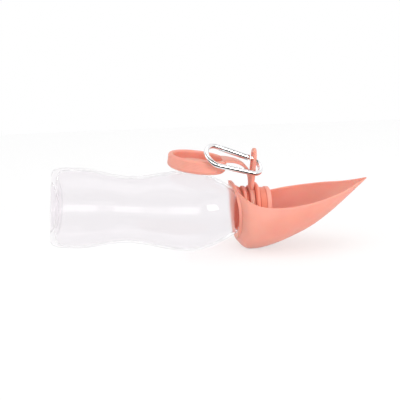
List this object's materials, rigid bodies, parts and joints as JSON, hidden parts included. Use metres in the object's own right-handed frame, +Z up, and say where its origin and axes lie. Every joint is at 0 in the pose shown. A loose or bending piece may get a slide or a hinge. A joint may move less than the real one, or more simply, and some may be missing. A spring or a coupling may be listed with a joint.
{
  "type": "dog travel water bottle",
  "caption": "Clear pet water bottle lying down, with a leaf-shaped silicone drinking bowl, twist outlet, tethered cover and spring clip.",
  "frame": {"origin": "on the floor under the middle of the assembly's box, as the bottle lies", "axes": "+X from the bottle's base towards the leaf's tip, +Y across, +Z up"},
  "size_m": [0.2976, 0.0756, 0.1029],
  "materials": {
    "clear_wall": "clear, smooth, with a faint lavender cast",
    "coral_silicone": "matte moulded silicone",
    "coral_plastic": "satin moulded plastic",
    "seal_silicone": "matte, translucent white",
    "o_ring": "black rubber",
    "clip_steel": "polished",
    "stainless": "plain stainless"
  },
  "bodies": {
    "bottle": {"bottle": "clear_wall", "bottle_neck": "clear_wall"},
    "gasket": {"mouth_gasket": "seal_silicone"},
    "head": {"screw_cap": "coral_plastic", "bowl": "coral_silicone", "seal_disc": "seal_silicone", "dial_washer": "stainless", "dial_screw": "stainless"},
    "dial": {"dial": "coral_plastic", "dial_ring": "o_ring"},
    "tether": {"tether": "coral_silicone", "tether_ring": "coral_silicone"},
    "clip": {"clip_frame": "clip_steel", "gate_nose_pin": "stainless"},
    "gate": {"clip_gate": "clip_steel", "gate_pivot_pin": "stainless", "gate_plunger": "stainless", "gate_spring": "stainless"}
  },
  "joints": [
    {"name": "unscrew_lift", "type": "slide", "parent": "bottle", "child": "gasket", "axis": [0.9973, 0, -0.0732], "range_m": [0, 0.0101]},
    {"name": "unscrew_turn", "type": "hinge", "parent": "gasket", "child": "head", "pos_m": [0.04203, 0, 0.03291], "axis": [0.9973, 0, -0.0732], "range_deg": [0, 720]},
    {"name": "dial_turn", "type": "hinge", "parent": "head", "child": "dial", "pos_m": [0.04891, 0, 0.0324], "axis": [0.9973, 0, -0.0732], "range_deg": [0, 90]},
    {"name": "tether_swing", "type": "hinge", "parent": "head", "child": "tether", "pos_m": [0.03655, 0, 0.03331], "axis": [0.9973, 0, -0.0732], "range_deg": [-30, 30]},
    {"name": "clip_swing", "type": "hinge", "parent": "tether", "child": "clip", "pos_m": [0.04106, -0.0047, 0.08426], "axis": [-0.7281, 0.2774, 0.6268], "range_deg": [0, 45]},
    {"name": "gate_open", "type": "hinge", "parent": "clip", "child": "gate", "pos_m": [0.03406, -0.0058, 0.08737], "axis": [0.4092, -0.5576, 0.7223], "range_deg": [0, 25], "stiffness_Nm_per_rad": 0.01, "springref_deg": -57.3}
  ],
  "couplings": [
    {"joint": "unscrew_lift", "follows": "unscrew_turn", "m_per_rad": 0.00079577}
  ]
}
